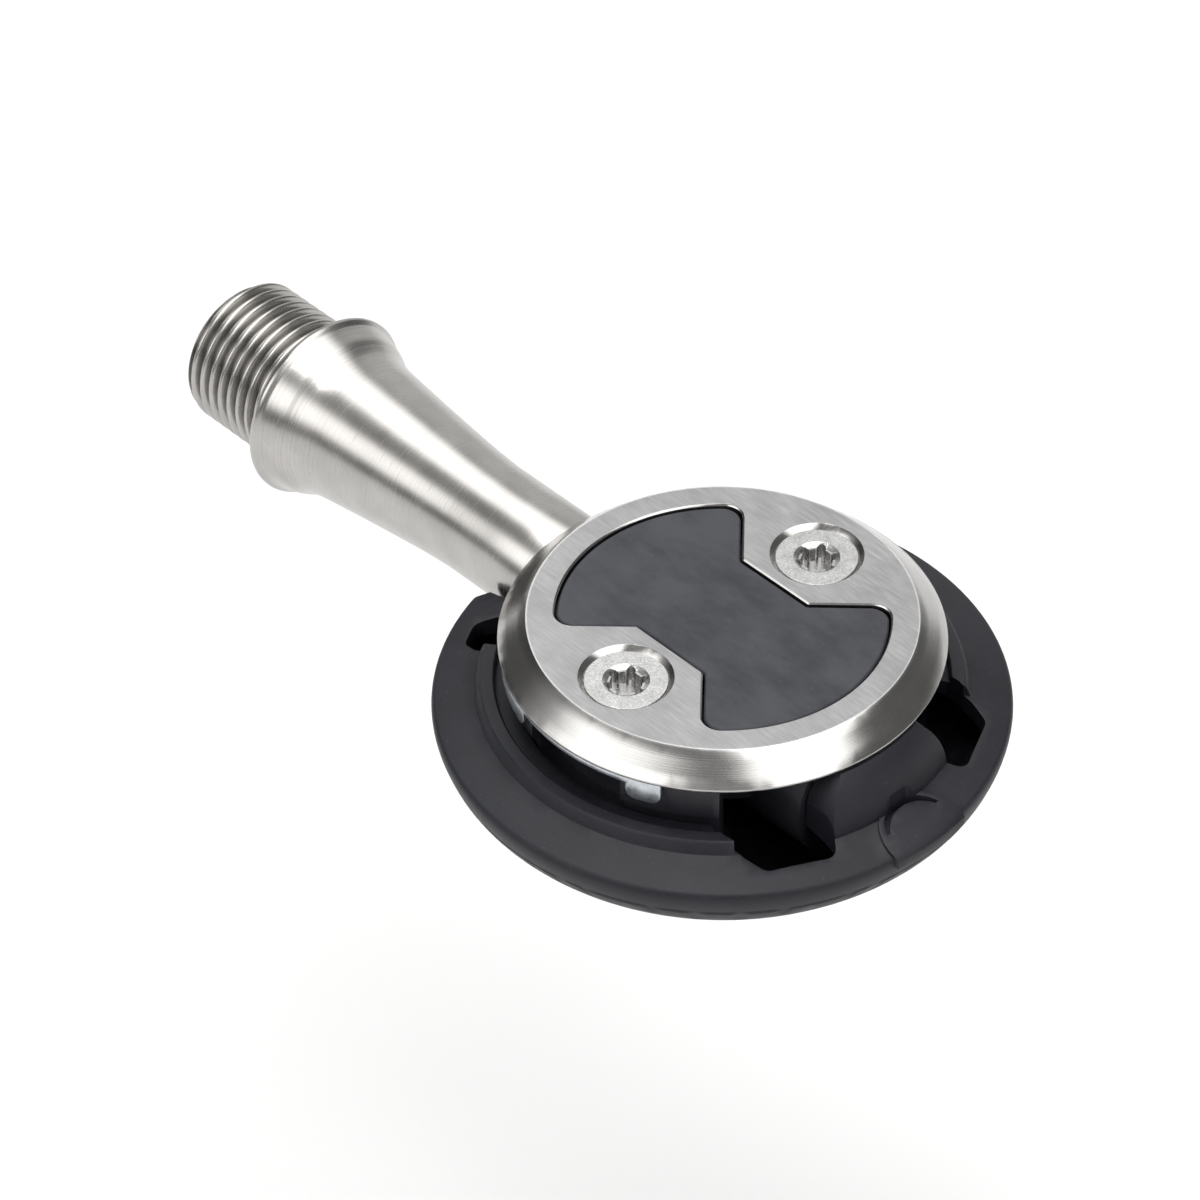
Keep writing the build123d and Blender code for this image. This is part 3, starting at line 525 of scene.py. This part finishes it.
softEdgeAngle = 38
softEdges = {"top_plate": 0.07, "plate_insert": 0.08, "plate_screws": 0.05, "wear_clips": 0.08,
             "aero_fairing": 0.16, "core_body": 0.16}
for name, width in softEdges.items():
    weld = nodes[name].modifiers.new("weld", "WELD")
    weld.merge_threshold = 0.001 * mm
    bevel = nodes[name].modifiers.new("softEdge", "BEVEL")
    bevel.width = width * mm
    bevel.segments = 2
    bevel.limit_method = "ANGLE"
    bevel.angle_limit = math.radians(softEdgeAngle)
    bevel.harden_normals = True
print("edges softened on", len(softEdges), "nodes")


# floor, light and camera

studio = {"floorSize": 3.0, "floorColour": (0.74, 0.74, 0.744), "floorDrop": 65.0,
          "floorRoughness": 0.9, "floorSheen": 0.1,
          "lampPower": 0.75, "lampSize": 0.28, "lampPlace": (-0.05, -0.1, 0.55)}
# brightness of each soft box or dark part, then the angles or directions between which it fades
sky = {"colour": (1.0, 0.995, 0.985), "base": 0.44, "lean": 14.0,
       "overhead": 2.15, "overheadIn": (52.0, 66.0), "overheadOut": (100.0, 112.0),
       "overheadEnd": (-0.98, -0.8),
       "front": 2.1, "frontIn": (128.0, 140.0), "frontOut": (156.0, 169.0),
       "frontCrankEnd": (-0.72, -0.42), "frontPedalEnd": (0.22, 0.5),
       "shade": 0.29, "shadeIn": (-2.0, 10.0), "shadeOut": (46.0, 60.0), "shadeFrom": (-0.35, 0.15),
       "far": 0.32, "farIn": (-25.0, -2.0), "farOut": (38.0, 52.0), "farTo": (-0.35, 0.05),
       "gap": 0.19, "gapIn": (104.0, 114.0), "gapOut": (122.0, 134.0),
       "side": 0.72, "sideAbove": (161.0, 170.0), "sideBelow": (-176.0, -170.0), "sideLow": (-0.05, 0.02),
       "crank": 0.74, "crankSide": (-0.9, -0.68), "crankHeight": (-0.3, -0.05)}
viewpoint = {"lens": 165.39, "sensor": 36.0, "nearest": 0.01, "place": (0.30875, -0.25118, 0.32831),
             "right": (0.68527, 0.72824, -0.00838), "down": (0.47970, -0.45999, -0.74719),
             "ahead": (-0.54799, 0.50801, -0.66456)}


def makeFloor():
    # clear of the pedal at every turn, and deep enough for its shadow to fade out
    reach = max(abs(corner.y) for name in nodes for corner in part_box(name))
    lowest = -reach - studio["floorDrop"] * mm
    bm = bmesh.new()
    bmesh.ops.create_circle(bm, cap_ends=True, radius=studio["floorSize"], segments=96)
    bmesh.ops.translate(bm, verts=bm.verts, vec=(middle.x, 0.0, lowest))
    mesh = bpy.data.meshes.new("floor")
    bm.to_mesh(mesh)
    bm.free()
    floor = bpy.data.objects.new("floor", mesh)
    bpy.context.scene.collection.objects.link(floor)
    material = bpy.data.materials.new("paleFloor")
    material.use_nodes = True
    shader = material.node_tree.nodes["Principled BSDF"]
    shader.inputs["Base Color"].default_value = (*studio["floorColour"], 1.0)
    shader.inputs["Roughness"].default_value = studio["floorRoughness"]
    shader.inputs["Specular IOR Level"].default_value = studio["floorSheen"]
    mesh.materials.append(material)


def makeSky():
    # long soft boxes along the spindle, with the dark room between them
    world = bpy.data.worlds.new("softBoxes")
    bpy.context.scene.world = world
    world.use_nodes = True
    tree = Tree(world.node_tree)
    x, y, z = tree.split(tree.add("ShaderNodeTexCoord", out="Generated"))
    # angle round the X axis in degrees, 0 at +Y, 90 straight up, 180 at -Y
    angle = z.maths("ARCTAN2", z, y) * (180.0 / math.pi)
    leaning = angle - x * sky["lean"]
    overhead = angle.ramp(*sky["overheadIn"]) * (1.0 - leaning.ramp(*sky["overheadOut"]))
    overhead = overhead * x.ramp(*sky["overheadEnd"])
    front = angle.ramp(*sky["frontIn"]) * (1.0 - angle.ramp(*sky["frontOut"]))
    front = front * x.ramp(*sky["frontCrankEnd"]) * (1.0 - x.ramp(*sky["frontPedalEnd"]))
    shade = angle.ramp(*sky["shadeIn"]) * (1.0 - angle.ramp(*sky["shadeOut"])) * x.ramp(*sky["shadeFrom"])
    far = angle.ramp(*sky["farIn"]) * (1.0 - angle.ramp(*sky["farOut"])) * (1.0 - x.ramp(*sky["farTo"]))
    gap = leaning.ramp(*sky["gapIn"]) * (1.0 - angle.ramp(*sky["gapOut"]))
    below = (1.0 - angle.ramp(*sky["sideBelow"])) * (1.0 - z.ramp(*sky["sideLow"]))
    side = (angle.ramp(*sky["sideAbove"]) + below).least(1.0)
    crankEnd = (1.0 - x.ramp(*sky["crankSide"])) * z.ramp(*sky["crankHeight"])
    light = overhead * sky["overhead"] + front * sky["front"] + far * sky["far"] + sky["base"]
    light = light - shade * sky["shade"] - gap * sky["gap"]
    light = light * (1.0 - side * sky["side"]) * (1.0 - crankEnd * sky["crank"])
    background = world.node_tree.nodes["Background"]
    tree.inside.links.new(light.socket, background.inputs["Strength"])
    background.inputs["Color"].default_value = (*sky["colour"], 1.0)


def makeKeyLight():
    light = bpy.data.lights.new("key", "AREA")
    light.energy = studio["lampPower"]
    light.shape = "DISK"
    light.size = studio["lampSize"]
    lamp = bpy.data.objects.new("key", light)
    bpy.context.scene.collection.objects.link(lamp)
    lamp.location = Vector(studio["lampPlace"]) + Vector((middle.x, 0.0, 0.0))
    lamp.rotation_euler = (middle - lamp.location).to_track_quat("-Z", "Y").to_euler()


def makeCamera():
    lens = bpy.data.cameras.new("view")
    lens.sensor_width = viewpoint["sensor"]
    lens.lens = viewpoint["lens"]
    lens.clip_start = viewpoint["nearest"]
    camera = bpy.data.objects.new("view", lens)
    bpy.context.scene.collection.objects.link(camera)
    right, down, ahead = (Vector(viewpoint[name]) for name in ("right", "down", "ahead"))
    pose = Matrix((right, -down, -ahead)).transposed().to_4x4()
    pose.translation = Vector(viewpoint["place"])
    camera.matrix_world = pose
    bpy.context.scene.camera = camera


makeFloor()
makeSky()
makeKeyLight()
makeCamera()
bpy.context.scene.view_settings.view_transform = "Standard"
print("studio ready")
